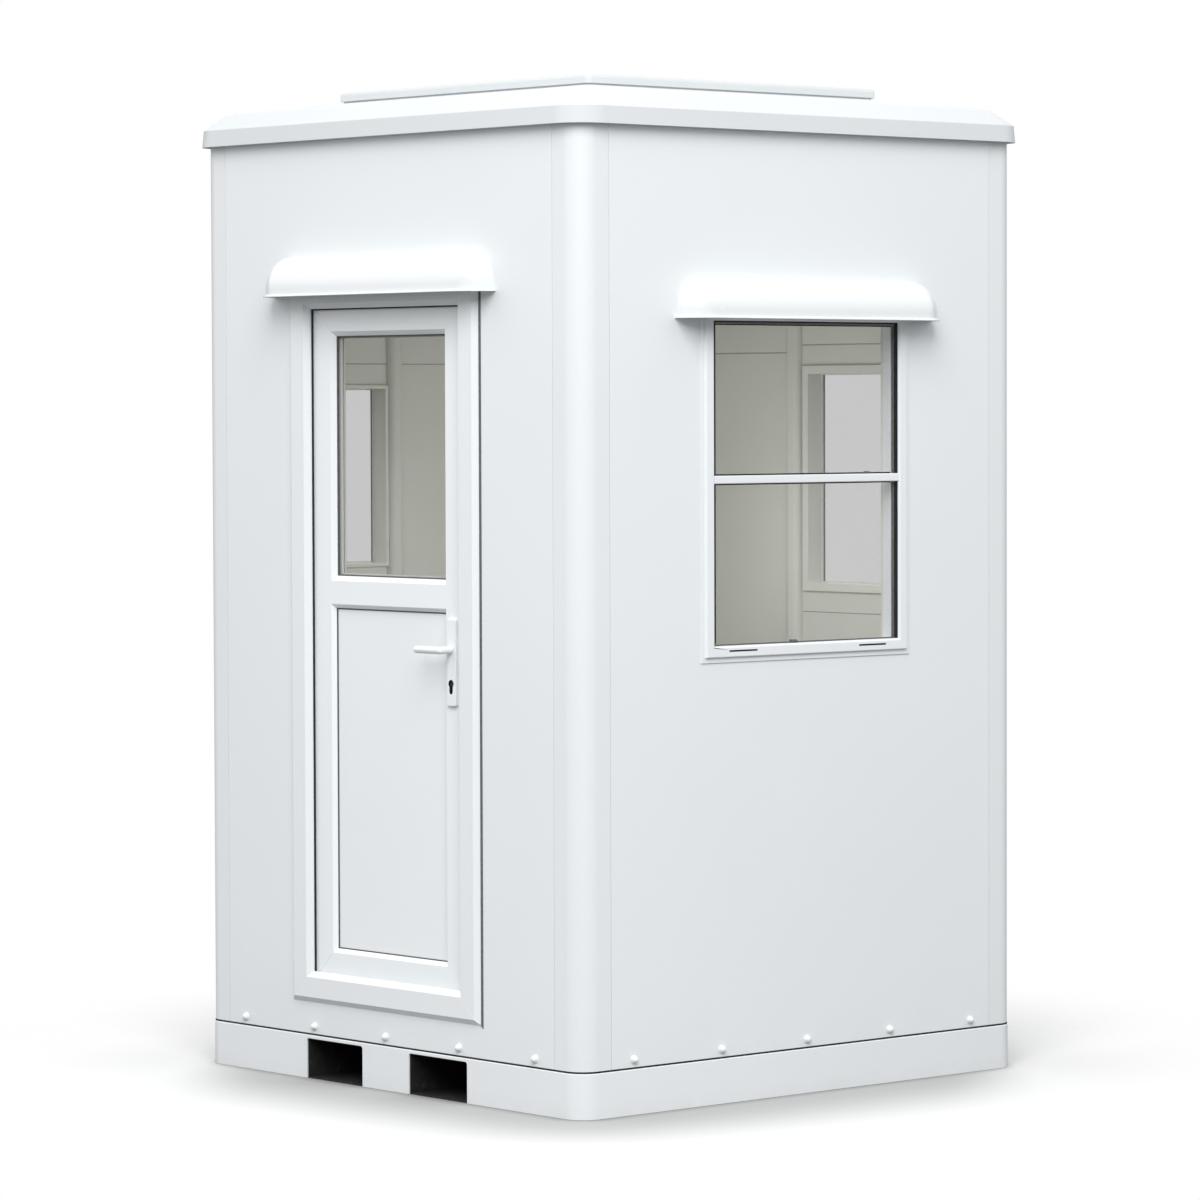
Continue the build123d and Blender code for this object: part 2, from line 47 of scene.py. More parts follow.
class Graph:
    """Short-hand for building a node tree."""

    def __init__(self, name):
        self.mat = bpy.data.materials.new(name)
        self.mat.use_nodes = True
        self.t = self.mat.node_tree
        self.t.nodes.clear()
        self.out = self.t.nodes.new("ShaderNodeOutputMaterial")
        self.b = self.t.nodes.new("ShaderNodeBsdfPrincipled")
        self.t.links.new(self.b.outputs[0], self.out.inputs["Surface"])
        self.xyz = self.t.nodes.new("ShaderNodeTexCoord").outputs["Object"]

    def link(self, a, b):
        self.t.links.new(a, b)

    def put(self, name, value):
        self.b.inputs[name].default_value = value

    def noise(self, scale, detail=3.0, rough=0.55, stretch=None, distort=0.0):
        n = self.t.nodes.new("ShaderNodeTexNoise")
        n.inputs["Scale"].default_value = scale
        n.inputs["Detail"].default_value = detail
        n.inputs["Roughness"].default_value = rough
        n.inputs["Distortion"].default_value = distort
        if stretch is None:
            self.link(self.xyz, n.inputs["Vector"])
        else:
            m = self.t.nodes.new("ShaderNodeMapping")
            m.inputs["Scale"].default_value = stretch
            self.link(self.xyz, m.inputs["Vector"])
            self.link(m.outputs[0], n.inputs["Vector"])
        return n.outputs["Fac"]

    def span(self, src, a, b, c=0.0, d=1.0, smooth=False):
        n = self.t.nodes.new("ShaderNodeMapRange")
        n.interpolation_type = "SMOOTHSTEP" if smooth else "LINEAR"
        n.inputs["From Min"].default_value = a
        n.inputs["From Max"].default_value = b
        n.inputs["To Min"].default_value = c
        n.inputs["To Max"].default_value = d
        self.link(src, n.inputs["Value"])
        return n.outputs["Result"]

    def math(self, op, a, b=None):
        n = self.t.nodes.new("ShaderNodeMath")
        n.operation = op
        for i, v in enumerate((a, b)):
            if v is None:
                continue
            if isinstance(v, (int, float)):
                n.inputs[i].default_value = v
            else:
                self.link(v, n.inputs[i])
        return n.outputs[0]

    def mix(self, fac, a, b):
        n = self.t.nodes.new("ShaderNodeMix")
        n.data_type = "RGBA"
        self.link(fac, n.inputs["Factor"])
        for key, v in (("A", a), ("B", b)):
            s = [i for i in n.inputs if i.name == key and i.type == "RGBA"][0]
            if isinstance(v, tuple):
                s.default_value = (v[0], v[1], v[2], 1.0)
            else:
                self.link(v, s)
        return [o for o in n.outputs if o.type == "RGBA"][0]

    def axes(self):
        n = self.t.nodes.new("ShaderNodeSeparateXYZ")
        self.link(self.xyz, n.inputs[0])
        return n.outputs

    def bump(self, height, strength, distance):
        n = self.t.nodes.new("ShaderNodeBump")
        n.inputs["Strength"].default_value = strength
        n.inputs["Distance"].default_value = distance
        self.link(height, n.inputs["Height"])
        self.link(n.outputs[0], self.b.inputs["Normal"])
        return n


def tint(c, k):
    return tuple(min(1.0, v * k) for v in c)


def painted(name, col, rough, mottle=0.015, grain=700.0, grain_d=0.00001, dust=0.0, dust_top=0.30,
            inner=None, inner_to=0.7008, spec=0.5, coat=0.0, streak=0.0):
    """Smooth white finish: slow tone drift, fine skin texture, uneven gloss, dust near the ground."""
    g = Graph(name)
    slow = g.span(g.noise(1.7, 2.0), 0.3, 0.7, 0.0, 1.0)
    colour = g.mix(slow, tint(col, 1.0 - mottle), tint(col, 1.0 + mottle))
    ax = g.axes()
    if streak > 0.0:
        run = g.span(g.noise(9.0, 4.0, 0.6, (1.0, 1.0, 0.05)), 0.55, 0.75, 0.0, streak)
        colour = g.mix(run, colour, tint(col, 0.86))
    if dust > 0.0:
        low = g.span(ax["Z"], 0.0, dust_top, 1.0, 0.0, True)
        patch = g.span(g.noise(14.0, 5.0, 0.65), 0.35, 0.75, 0.15, 1.0)
        colour = g.mix(g.math("MULTIPLY", g.math("MULTIPLY", low, patch), dust), colour, (0.50, 0.48, 0.44))
    if inner is not None:
        far = g.math("MAXIMUM", g.math("ABSOLUTE", ax["X"]), g.math("ABSOLUTE", ax["Y"]))
        inside = g.math("LESS_THAN", far, inner_to)
        lined = g.mix(g.span(g.noise(2.3, 3.0), 0.3, 0.7), tint(inner, 0.97), tint(inner, 1.02))
        colour = g.mix(inside, colour, lined)
    g.link(colour, g.b.inputs["Base Color"])
    g.link(g.span(g.noise(38.0, 4.0), 0.3, 0.7, rough - 0.012, rough + 0.014), g.b.inputs["Roughness"])
    g.bump(g.noise(grain, 2.0, 0.5), 0.10, grain_d)
    g.put("Specular IOR Level", spec)
    if coat > 0.0:
        g.put("Coat Weight", coat)
        g.put("Coat Roughness", 0.12)
    return g.mat


def rubber(name, col, rough=0.6):
    g = Graph(name)
    spread = 0.28 if col[0] < 0.15 else 0.06
    c = g.mix(g.span(g.noise(220.0, 3.0), 0.3, 0.7), tint(col, 1.0 - spread), tint(col, 1.0 + spread))
    g.link(c, g.b.inputs["Base Color"])
    g.link(g.span(g.noise(90.0, 3.0), 0.3, 0.7, rough - 0.1, rough + 0.1), g.b.inputs["Roughness"])
    g.bump(g.noise(1500.0, 2.0), 0.3, 0.00008)
    g.put("Specular IOR Level", 0.35)
    return g.mat


def metal(name, col, rough, along=(1.0, 1.0, 0.08)):
    g = Graph(name)
    brush = g.noise(1400.0, 3.0, 0.6, along)
    g.link(g.mix(g.span(brush, 0.3, 0.7), tint(col, 0.8), tint(col, 1.15)), g.b.inputs["Base Color"])
    g.link(g.span(brush, 0.25, 0.75, rough - 0.08, rough + 0.1), g.b.inputs["Roughness"])
    g.put("Metallic", 1.0)
    g.bump(brush, 0.2, 0.00004)
    return g.mat


def glass(name, alpha, col):
    """Clear pane: mostly open, with a faint grey-green body, a gloss and a trace of dust."""
    g = Graph(name)
    haze = g.span(g.noise(3.0, 4.0), 0.3, 0.75, 0.0, 1.0)
    g.link(g.mix(haze, tint(col, 0.9), tint(col, 1.15)), g.b.inputs["Base Color"])
    g.link(g.span(g.noise(25.0, 4.0), 0.3, 0.7, 0.02, 0.06), g.b.inputs["Roughness"])
    g.put("Alpha", alpha)
    g.put("Specular IOR Level", 0.5)
    return g.mat


def flooring(name):
    g = Graph(name)
    fleck = g.span(g.noise(420.0, 1.0), 0.56, 0.62, 0.0, 1.0)
    base = g.mix(g.span(g.noise(3.0, 4.0), 0.3, 0.7), (0.23, 0.235, 0.235), (0.28, 0.28, 0.275))
    g.link(g.mix(fleck, base, (0.42, 0.42, 0.41)), g.b.inputs["Base Color"])
    g.link(g.span(g.noise(30.0, 4.0), 0.3, 0.7, 0.42, 0.58), g.b.inputs["Roughness"])
    g.bump(g.noise(900.0, 2.0), 0.4, 0.00015)
    return g.mat


def black_steel(name):
    g = Graph(name)
    worn = g.span(g.noise(22.0, 5.0, 0.65), 0.58, 0.74, 0.0, 1.0)
    g.link(g.mix(worn, (0.010, 0.010, 0.011), (0.045, 0.042, 0.040)), g.b.inputs["Base Color"])
    g.link(g.span(g.noise(60.0, 4.0), 0.3, 0.7, 0.5, 0.75), g.b.inputs["Roughness"])
    g.bump(g.noise(300.0, 3.0), 0.4, 0.0002)
    return g.mat


CREAM = (0.735, 0.742, 0.700)
MAT = {
    "wall_panel": painted("wall_coat", (0.780, 0.811, 0.831), 0.42, 0.010, dust=0.10, dust_top=0.32, inner=CREAM),
    "corner_post": painted("post_coat", (0.760, 0.789, 0.805), 0.50, 0.010, dust=0.10, dust_top=0.32, inner=CREAM, spec=0.4),
    "base_paint": painted("base_coat", (0.787, 0.814, 0.832), 0.42, 0.015, grain=260.0, grain_d=0.00002, dust=0.16, dust_top=0.05),
    "joint_seal": rubber("joint_rubber", (0.014, 0.014, 0.015)),
    "pocket_steel": black_steel("pocket_black"),
    "floor_covering": flooring("floor_sheet"),
    "ceiling": painted("ceiling_coat", (0.76, 0.75, 0.72), 0.6, 0.015),
    "moulded_shell": painted("gel_coat", (0.755, 0.784, 0.798), 0.26, 0.010, grain=120.0, grain_d=0.00003, coat=0.25),
    "glazing": glass("pane_glass", 0.105, (0.060, 0.066, 0.062)),
    "window_plastic": painted("profile_white", (0.795, 0.826, 0.846), 0.30, 0.006, grain=60.0, grain_d=0.00002, inner=CREAM),
    "infill_panel": painted("sheet_white", (0.825, 0.857, 0.877), 0.25, 0.008, grain=60.0, grain_d=0.00002, inner=CREAM),
    "handle_paint": painted("handle_white", (0.815, 0.845, 0.862), 0.30, 0.01, grain=1500.0, grain_d=0.00001),
    "hinge_paint": painted("hinge_white", (0.80, 0.826, 0.842), 0.34, 0.01, grain=1500.0, grain_d=0.00001),
    "lock_metal": metal("lock_dark", (0.030, 0.030, 0.031), 0.5),
}
SMALL_FRAME = painted("small_frame_white", (0.795, 0.826, 0.846), 0.30, 0.006, grain=60.0, grain_d=0.00002, inner=tint(CREAM, 1.04), inner_to=0.7478)
LEAF = painted("leaf_white", (0.841, 0.877, 0.895), 0.30, 0.006, grain=60.0, grain_d=0.00002, inner=CREAM)
# the roof's gel coat in darker copies, the top panel darker still: painted shade that tones down the stronger light
# falling on the roof's upper faces
ROOF = painted("roof_gel_coat_painted_shade", (0.652, 0.678, 0.693), 0.60, 0.010, grain=120.0, grain_d=0.00003, spec=0.05)
ROOF_TOP = painted("roof_top_coat_painted_shade", (0.620, 0.644, 0.658), 0.60, 0.020, grain=120.0, grain_d=0.00003, spec=0.05)
DOOR_GLASS = glass("door_glass", 0.055, (0.060, 0.066, 0.062))
FAR_GLASS = glass("small_pane_glass", 0.185, (0.100, 0.106, 0.108))
GASKET = rubber("gasket_black", (0.012, 0.012, 0.013))
GASKET_GREY = rubber("gasket_grey", (0.085, 0.088, 0.09))
TRACK = rubber("track_grey", (0.11, 0.115, 0.115), 0.5)
SPACER = rubber("spacer_bar", (0.56, 0.565, 0.55), 0.5)
GASKET_PALE = rubber("gasket_pale", (0.74, 0.74, 0.71), 0.5)
TRACK_PALE = rubber("track_pale", (0.22, 0.225, 0.225), 0.5)
CAP = painted("cap_white", (0.80, 0.826, 0.842), 0.32, 0.01, grain=1500.0, grain_d=0.00001)
# dark grey of the door frame's sealant bead, which also serves as a painted shade line
SEALANT_AND_SHADE = rubber("sealant_and_shade_grey", (0.115, 0.118, 0.12), 0.55)
STEEL = metal("plug_steel", (0.085, 0.084, 0.083), 0.42)
POST_LINE = rubber("post_joint", (0.56, 0.575, 0.585), 0.5)
LINE = rubber("lining_joint", (0.42, 0.42, 0.39), 0.7)

for sub in frame["record"]["subparts"]:
    ob = nodes[sub["node"]]
    m = MAT[sub["material_slot"]]
    if sub["node"] == "door_glazing":
        m = DOOR_GLASS
    elif sub["node"] in ("back_window_pane", "left_window_pane"):
        m = FAR_GLASS
    elif sub["node"] in ("back_window_frame", "left_window_frame"):
        m = SMALL_FRAME
    elif sub["node"] == "roof_cap":
        m = ROOF
    elif sub["node"] == "roof_top_panel":
        m = ROOF_TOP
    elif sub["node"] in ("door_hinge_stile", "door_lock_stile", "door_top_rail", "door_middle_rail", "door_bottom_rail"):
        m = LEAF
    ob.data.materials.clear()
    ob.data.materials.append(m)

# ---------------------------------------------------------------------------
# edges of the carried-over pieces
# ---------------------------------------------------------------------------


def soften(name, width, segments=2, angle=25.0, flat=False):
    """Small rounded edges and even shading; the mesh itself stays as it is."""
    ob = nodes[name]
    for p in ob.data.polygons:
        p.use_smooth = True
    w = ob.modifiers.new("weld", "WELD")
    w.merge_threshold = 0.00002
    if flat:
        d = ob.modifiers.new("flats", "DECIMATE")
        d.decimate_type = "DISSOLVE"
        d.angle_limit = math.radians(0.6)
    if width > 0.0:
        b = ob.modifiers.new("bevel", "BEVEL")
        b.width = width * MM
        b.segments = segments
        b.limit_method = "ANGLE"
        b.angle_limit = math.radians(angle)
        b.use_clamp_overlap = True
        b.harden_normals = False
        b.miter_outer = "MITER_ARC"
    else:
        e = ob.modifiers.new("edges", "EDGE_SPLIT")
        e.split_angle = math.radians(32.0)
    n = ob.modifiers.new("normals", "WEIGHTED_NORMAL")
    n.mode = "FACE_AREA"
    n.weight = 100
    n.keep_sharp = False


for nm in nodes:
    if nm.startswith("front_wall") or nm in ("right_wall", "back_wall", "left_wall", "floor_panel", "ceiling_panel", "base_joint_sheet"):
        continue
    if nm.startswith("door_frame"):
        soften(nm, 1.1, flat=True)
    elif nm.startswith("door_") and nm not in ("door_hood", "door_glazing", "door_lever", "door_panel"):
        soften(nm, 1.3 if nm != "door_lock_stile" else 0.0, flat=nm != "door_lock_stile")
    elif nm.endswith("window_frame"):
        soften(nm, 0.9)
    elif nm.endswith("_hood"):
        soften(nm, 1.4)
    elif nm in ("roof_cap",):
        soften(nm, 0.0)
    elif nm in ("roof_top_panel", "handle_plates", "door_lever", "inner_cover_strips", "hinge_frame_halves", "hinge_leaf_halves"):
        soften(nm, 0.4)
    elif nm.startswith("corner_post"):
        soften(nm, 0.0)
    elif nm.startswith("base_") or nm == "fork_pockets":
        soften(nm, 0.0)
    elif nm == "right_window_bar":
        soften(nm, 0.8, flat=True)
    elif nm in ("door_glazing", "door_panel", "lock_cylinder") or nm.endswith("pane") or nm.endswith("panes"):
        soften(nm, 0.3)

# ---------------------------------------------------------------------------
# added pieces
# ---------------------------------------------------------------------------
TURN = {"front": 0.0, "right": 90.0, "back": 180.0, "left": -90.0}


def add(name, verts, faces, mat, body, slot, side="front", bevel=0.0, smooth=True):
    """A mesh given in millimetres on the front wall, turned to its side of the booth."""
    rot = Matrix.Rotation(math.radians(TURN[side]), 3, "Z")
    me = bpy.data.meshes.new(name)
    me.from_pydata([tuple(rot @ (Vector(v) * MM)) for v in verts], [], faces)
    me.validate()
    ob = bpy.data.objects.new(name, me)
    scene.collection.objects.link(ob)
    me.materials.append(mat)
    if smooth:
        for p in me.polygons:
            p.use_smooth = True
    if bevel > 0.0:
        b = ob.modifiers.new("bevel", "BEVEL")
        b.width = bevel * MM
        b.segments = 2
        b.limit_method = "ANGLE"
        b.angle_limit = math.radians(30.0)
        n = ob.modifiers.new("normals", "WEIGHTED_NORMAL")
        n.weight = 60
    elif smooth:
        e = ob.modifiers.new("edges", "EDGE_SPLIT")
        e.split_angle = math.radians(35.0)
    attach(ob, body)
    return ob


def loop(rect, profile, sides="BRTL"):
    """A profile [(inset, depth)] run round a rectangle (x0, x1, z0, z1), mitred, on the sides named."""
    x0, x1, z0, z1 = rect
    n = len(profile)
    verts, faces = [], []
    for k in range(4):
        for i, y in profile:
            cx = (x0 + i, x1 - i, x1 - i, x0 + i)[k]
            cz = (z0 + i, z0 + i, z1 - i, z1 - i)[k]
            verts.append((cx, y, cz))
    order = {"B": (0, 1), "R": (1, 2), "T": (2, 3), "L": (3, 0)}
    area = sum(profile[j][0] * profile[(j + 1) % n][1] - profile[(j + 1) % n][0] * profile[j][1] for j in range(n))
    used = {}
    for s in sides:
        a, b = order[s]
        used[a] = used.get(a, 0) + 1
        used[b] = used.get(b, 0) + 1
        for j in range(n):
            q = (a * n + j, b * n + j, b * n + (j + 1) % n, a * n + (j + 1) % n)
            faces.append(q if area < 0 else q[::-1])
    for s in sides:
        a, b = order[s]
        if used[a] == 1:
            f = tuple(a * n + j for j in range(n))
            faces.append(f if area < 0 else f[::-1])
        if used[b] == 1:
            f = tuple(b * n + j for j in range(n))[::-1]
            faces.append(f if area < 0 else f[::-1])
    keep = sorted({i for f in faces for i in f})
    new = {o: i for i, o in enumerate(keep)}
    return [verts[i] for i in keep], [tuple(new[i] for i in f) for f in faces]


def merge(*parts):
    verts, faces = [], []
    for v, f in parts:
        k = len(verts)
        verts += v
        faces += [tuple(i + k for i in q) for q in f]
    return verts, faces


def block(x0, x1, y0, y1, z0, z1, taper=0.0):
    """Block whose front face (y0) is drawn in by taper."""
    t = taper
    v = [(x0 + t, y0, z0 + t), (x1 - t, y0, z0 + t), (x1 - t, y0, z1 - t), (x0 + t, y0, z1 - t),
         (x0, y1, z0), (x1, y1, z0), (x1, y1, z1), (x0, y1, z1)]
    f = [(0, 1, 2, 3), (5, 4, 7, 6), (4, 5, 1, 0), (3, 2, 6, 7), (4, 0, 3, 7), (1, 5, 6, 2)]
    return v, f


def lathe(x, z, y_face, profile, seg=28):
    """Round piece standing out of a front face at (x, z): profile [(radius, height)] from the face out."""
    verts, faces = [], []
    for r, h in profile:
        for s in range(seg):
            a = 2 * math.pi * s / seg
            verts.append((x + r * math.cos(a), y_face - h, z + r * math.sin(a)))
    n = len(profile)
    for k in range(n - 1):
        for s in range(seg):
            t = (s + 1) % seg
            faces.append((k * seg + s, k * seg + t, (k + 1) * seg + t, (k + 1) * seg + s))
    faces.append(tuple((n - 1) * seg + s for s in range(seg)))
    faces.append(tuple(s for s in range(seg))[::-1])
    return verts, faces


# bolt caps along the foot of each wall: washer skirt and domed cover
dome = [(10.6, 0.0), (10.6, 1.6), (9.9, 2.6), (8.6, 3.0), (8.3, 4.2)]
for k in range(1, 8):
    a = math.pi / 2 * k / 7
    dome.append((8.3 * math.cos(a) if k < 7 else 0.9, 4.2 + 7.8 * math.sin(a)))
for side in TURN:
    caps = merge(*[lathe(x, 135.0, -750.0, dome) for x in (-580.0, -290.0, 0.0, 290.0, 580.0)])
    add("bolt_caps_" + side, *caps, CAP, "booth", "base_paint", side)

# black bead in the joint between base and walls, and the grey lines beside the corner posts
def band(half, radius, profile, seg=10):
    """A profile [(outset, z)] run round a square with rounded corners."""
    path = []
    for k in range(4):
        for i in range(seg + 1):
            a = math.pi / 2 * (k + i / seg)
            sx, sy = ((1, 1), (-1, 1), (-1, -1), (1, -1))[k]
            path.append((sx * (half - radius), sy * (half - radius), math.cos(a), math.sin(a)))
    verts = [(cx + (radius + o) * ca, cy + (radius + o) * sa, z) for cx, cy, ca, sa in path for o, z in profile]
    n, m = len(profile), len(path)
    faces = [(j * n + i, (j + 1) % m * n + i, (j + 1) % m * n + (i + 1) % n, j * n + (i + 1) % n)
             for j in range(m) for i in range(n)]
    return verts, faces


add("base_joint_bead", *band(750.0, POST_R, [(-3.5, 112.2), (0.8, 112.2), (1.0, 113.4), (0.9, 115.6), (0.3, 116.4),
    (0.06, 116.4), (0.06, 114.9), (-3.5, 114.9)]), GASKET, "booth", "joint_seal")
for side in TURN:
    add("post_joint_lines_" + side, *merge(*[block(x - 0.9, x + 0.9, -749.6, -748.7, 117.2, 2380.0) for x in (-POST_P, POST_P)]),
        POST_LINE, "booth", "joint_seal", side)

# black seal behind the door frame's lip, on three sides
seal = [(-7.0, -743.9), (-0.6, -743.9), (-0.2, -742.5), (-0.6, -741.0), (-2.2, -739.8), (-7.0, -739.8)]
flap = [(-7.0, -743.9), (3.4, -743.9), (3.6, -742.8), (3.0, -741.6), (-1.0, -739.8), (-7.0, -739.8)]
lip = (-298.0, 298.0, 277.0, 1972.0)
add("door_lip_seal", *merge(loop(lip, seal, "R"), loop(lip, [(-7.0, -743.9), (0.9, -743.9), (1.3, -742.5), (1.3, -739.0), (0.6, -737.6), (-7.0, -737.6)], "L"), loop(lip, flap, "T")), GASKET, "booth", "joint_seal")

# seals round the door's glass and infill panel, outside and inside
for nm, a, za, zb, ya, yb, yc, yd in (("glass", 218.0, 1293.0, 1902.0, -725.0, -720.0, -704.0, -699.0),
                                      ("panel", 220.0, 340.5, 1210.5, -727.0, -724.0, -700.0, -697.0)):
    outer = [(0.0, ya), (2.2, ya + 0.8), (3.0, yb - 0.9), (2.6, yb - 0.05), (0.0, yb - 0.05)]
    inner = [(0.0, yd), (0.0, yc + 0.05), (2.6, yc + 0.05), (3.0, yc + 0.9), (2.2, yd - 0.8)]
    rect = (-a, a, za, zb)
    add("door_%s_seals" % nm, *loop(rect, outer), GASKET_GREY, "door", "joint_seal")
    add("door_%s_inner_seals" % nm, *loop(rect, inner), GASKET_PALE, "door", "joint_seal")

# spacer between the two panes of the door
add("door_glass_spacer", *loop((-226.0, 226.0, 1285.0, 1910.0),
    [(1.0, -715.9), (13.0, -715.9), (14.0, -714.9), (14.0, -709.1), (13.0, -708.1), (1.0, -708.1)]),
    SPACER, "door", "lock_metal")

# lock: plug with its key slit, on both faces; the slit is a thin black sheet on the plug, painted shade standing in
# for the dark keyway
plug = [(6.6, 0.0), (6.6, 0.5), (6.1, 0.9), (5.6, 0.9), (5.4, 0.6), (0.6, 0.6)]
for nm, y, turn in (("outer", -742.0, 1), ("inner", -682.0, -1)):
    v, f = lathe(259.0, 1036.0, y, [(r, h * turn) for r, h in plug], 24)
    add("key_plug_" + nm, v, f if turn > 0 else [q[::-1] for q in f], STEEL, "door", "lock_metal")
    hexa = [(-1.0, -3.6), (1.0, -3.6), (1.3, -2.4), (0.9, 3.4), (-0.9, 3.4), (-0.5, -2.2)]
    v = [(259.0 + a, y - 0.55 * turn, 1036.0 + b) for a, b in hexa] + [(259.0 + a, y - 0.75 * turn, 1036.0 + b) for a, b in hexa]
    n = len(hexa)
    f = [tuple(range(n, 2 * n)), tuple(range(n))[::-1]] + [(j, (j + 1) % n, n + (j + 1) % n, n + j) for j in range(n)]
    add("key_slit_" + nm, v, f if turn > 0 else [q[::-1] for q in f], GASKET, "door", "lock_metal", smooth=False)



def lock_outline(grow, n=40):
    """Outline of the lock's hole, a round head over a narrow tongue, as (x, z) points."""
    r, w, zt, zb = 8.5 + grow, 5.0 + grow, 1036.0, 1016.5
    a0 = math.asin(w / r)
    pts = []
    for i in range(n + 1):
        a = -math.pi / 2 + a0 + (2 * math.pi - 2 * a0) * i / n
        pts.append((259.0 + r * math.cos(a), zt + r * math.sin(a)))
    for i in range(13):
        a = math.pi + math.pi * i / 12
        pts.append((259.0 + w * math.cos(a), zb + w * math.sin(a)))
    return pts


# a black sleeve filling the narrow gap between the plate's cut and the lock: painted shade for the dark gap round the
# lock
big, small = lock_outline(1.45), lock_outline(0.05)
n = len(big)
for nm, ya, yb in (("outer", -745.9, -737.1), ("inner", -686.9, -678.1)):
    v = [(x, y, z) for pts, y in ((big, ya), (small, ya), (small, yb), (big, yb)) for x, z in pts]
    f = []
    for k in range(4):
        for j in range(n):
            i = (j + 1) % n
            q = (k * n + j, k * n + i, (k + 1) % 4 * n + i, (k + 1) % 4 * n + j)
            f.append(q[::-1])
    add("lock_gap_painted_shade_" + nm, v, f, GASKET, "door", "joint_seal")

# bead of sealant where the door frame meets the wall, on the right side only: dark grey sealant that is also a painted
# shade line beside the frame
bead = [(0.3, -749.8), (0.3, -752.4), (-2.6, -752.6), (-5.6, -751.4), (-6.4, -749.9)]
add("door_frame_sealant_and_shade_line", *loop((-378.0, 378.0, 197.0, 2057.0), bead, "R"), SEALANT_AND_SHADE, "booth", "joint_seal")

# right window: dark track in the reveal, seals on the panes
RW = (-317.0, 317.0, 1131.0, 1931.0)
ring = [(0.0, -753.5), (2.6, -753.0), (3.4, -751.5), (3.4, -747.5), (0.0, -747.0)]
side = [(0.0, -753.5), (1.6, -753.0), (1.8, -742.2), (0.0, -742.0)]
left = [(0.0, -753.5), (8.0, -753.0), (9.0, -751.5), (9.0, -747.5), (0.0, -747.0)]
add("right_window_track", *merge(loop(RW, left, "L"), loop(RW, ring, "T"), loop(RW, side, "R")), GASKET, "booth", "joint_seal", "right")
mid = [(0.0, -741.9), (1.5, -741.9), (2.2, -733.05), (0.0, -733.05)]
head = [(0.0, -746.9), (7.6, -746.6), (8.0, -745.4), (8.0, -739.0), (0.0, -739.0)]
add("right_window_track_side", *loop(RW, mid, "R"), TRACK, "booth", "joint_seal", "right")
add("right_window_track_lip", *loop(RW, head, "T"), TRACK_PALE, "booth", "joint_seal", "right")
line = [(0.0, -738.9), (10.2, -738.6), (10.6, -737.6), (10.6, -733.05), (0.0, -733.05)]
add("right_window_head_seal", *loop(RW, line, "T"), GASKET, "booth", "joint_seal", "right")
sill = [(0.0, -741.0), (2.2, -741.0), (3.0, -733.05), (0.0, -733.05)]
add("right_window_sill_seal", *loop(RW, sill, "B"), GASKET_GREY, "booth", "joint_seal", "right")
barseal = merge(
    block(-309.0, 309.0, -736.0, -733.05, 1549.9, 1553.5, 0.8),
    block(-309.0, 309.0, -736.0, -733.05, 1526.5, 1530.1, 0.8))
add("right_window_bar_seals", *barseal, GASKET, "booth", "joint_seal", "right")
# black blocks in the two drain slots under the sill: painted shade standing in for the dark inside of the slots
slots = merge(
    block(-269.5, -175.5, -758.6, -748.4, 1116.2, 1120.3),
    block(175.5, 269.5, -758.6, -748.4, 1116.2, 1120.3))
add("right_window_drain_painted_shade", *slots, GASKET, "booth", "joint_seal", "right")
latch = merge(
    block(212.0, 232.0, -745.0, -737.0, 1549.8, 1556.5, 2.0),
    block(-48.0, -24.0, -748.0, -737.0, 1130.8, 1139.5, 2.5))
add("right_window_latches", *latch, TRACK, "booth", "joint_seal", "right", bevel=0.8)

# the two small windows: seals against their panes
for side, rect in (("back", (-315.0, -30.0, 1245.0, 1808.0)), ("left", (186.0, 472.0, 1304.0, 1771.0))):
    out = [(0.0, -755.8), (2.0, -755.2), (2.8, -753.6), (2.6, -752.05), (0.0, -752.05)]
    inn = [(0.0, -742.5), (0.0, -747.95), (3.0, -747.95), (3.2, -746.0), (2.4, -743.5)]
    add(side + "_window_seals", *merge(loop(rect, out), loop(rect, inn)), GASKET_PALE, "booth", "joint_seal", side)

# fine joints in the lining of the back and left walls, inside
add("lining_joint_back", *merge(
    block(-652.0, -48.5, 699.0, 700.2, 1864.0, 1867.5, 0.5),
    block(1.5, 652.0, 699.0, 700.2, 1884.0, 1887.5, 0.5),
    block(1.5, 652.0, 699.0, 700.2, 1165.5, 1168.2, 0.5)), LINE, "booth", "wall_panel", "front")
v, f = merge(block(-652.0, 652.0, 699.0, 700.2, 1836.0, 1839.0, 0.5))
add("lining_joint_left", [(-y, x, z) for x, y, z in v], f, LINE, "booth", "wall_panel", "front")

# ---------------------------------------------------------------------------
# floor, light and camera
# ---------------------------------------------------------------------------
def plane(name, half, z):
    me = bpy.data.meshes.new(name)
    me.from_pydata([(-half, -half, z), (half, -half, z), (half, half, z), (-half, half, z)], [], [(0, 1, 2, 3)])
    ob = bpy.data.objects.new(name, me)
    scene.collection.objects.link(ob)
    return ob


# the pale floor that shows: a little darker round the booth, a painted contact shadow in its colour, fading out into
# the white backdrop
floor = plane("studio_floor", 6.0, -0.0008)
g = Graph("studio_floor")
ax = g.axes()
dx = g.math("MAXIMUM", g.math("SUBTRACT", g.math("ABSOLUTE", ax["X"]), 0.668), 0.0)
dy = g.math("MAXIMUM", g.math("SUBTRACT", g.math("ABSOLUTE", ax["Y"]), 0.668), 0.0)
away = g.math("SUBTRACT", g.math("SQRT", g.math("ADD", g.math("MULTIPLY", dx, dx), g.math("MULTIPLY", dy, dy))), 0.08)
# the painted shadow is weaker towards the two corners on the booth's x+y diagonal
painted_shadow_weight = g.span(g.math("ABSOLUTE", g.math("ADD", ax["X"], ax["Y"])), 1.22, 1.62, 1.0, 0.20, True)
